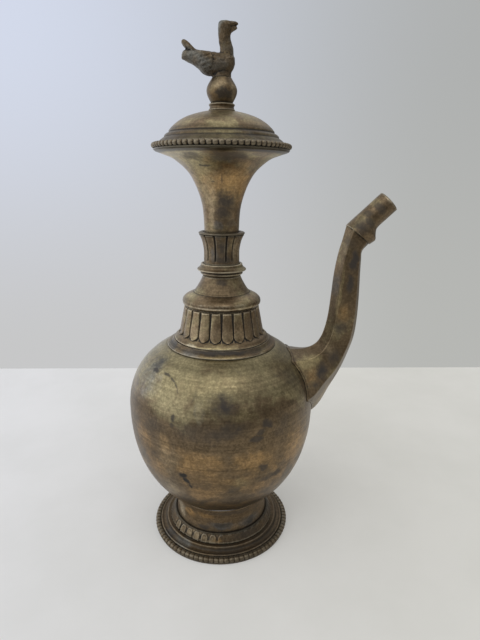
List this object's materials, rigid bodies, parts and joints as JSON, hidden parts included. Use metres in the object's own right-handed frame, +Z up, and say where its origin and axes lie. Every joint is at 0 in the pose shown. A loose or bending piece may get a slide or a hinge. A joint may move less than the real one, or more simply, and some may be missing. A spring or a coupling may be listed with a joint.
{
  "type": "wine pot",
  "caption": "Brass wine pot: round bowl on a hollow beaded foot, moulded neck with a funnel mouth, faceted curved spout with a nozzle, and a lift-off domed lid with a bird finial.",
  "frame": {"origin": "on the table plane, under the middle of the overall length of bowl and spout and on the plane of symmetry", "axes": "+X towards the spout side, +Y away from the viewer who has the spout at the right, +Z up along the axis of the bowl"},
  "size_m": [0.1314, 0.095, 0.2518],
  "materials": {
    "foot_brass": "aged dark brass with paler rubbed high points",
    "bowl_brass": "aged brass with olive-brown patina and golden rubbed patches",
    "neck_brass": "aged brass with grey-brown patina and bright worn edges",
    "ornament_brass": "chased ornament, dark in the grooves and rubbed on the crowns",
    "funnel_brass": "rubbed golden brass with grey-green stains",
    "lid_brass": "aged brass with grey-brown patina",
    "finial_brass": "dark rough cast brass",
    "spout_brass": "aged brass with dark stains",
    "hidden_brass": "plain unpolished brass inside the lid"
  },
  "bodies": {
    "vessel": {"foot": "foot_brass", "foot_bead_ring": "foot_brass", "foot_petal_band": "ornament_brass", "lower_bowl": "bowl_brass", "upper_bowl": "bowl_brass", "shoulder_ring": "neck_brass", "petal_collar": "ornament_brass", "neck_cone": "neck_brass", "knop_ring": "neck_brass", "fluted_sleeve": "ornament_brass", "funnel": "funnel_brass", "spout": "spout_brass", "nozzle": "spout_brass"},
    "lid": {"lid_cap": "lid_brass", "lid_bead_ring": "lid_brass", "lid_bezel": "hidden_brass", "finial_collar": "finial_brass", "finial_ball": "finial_brass", "bird": "finial_brass", "finial_tang": "hidden_brass", "tang_washer": "hidden_brass"}
  },
  "joints": [
    {"name": "lid_lift", "type": "slide", "parent": "vessel", "child": "lid", "axis": [0, 0, 1], "range_m": [0, 0.06]}
  ]
}
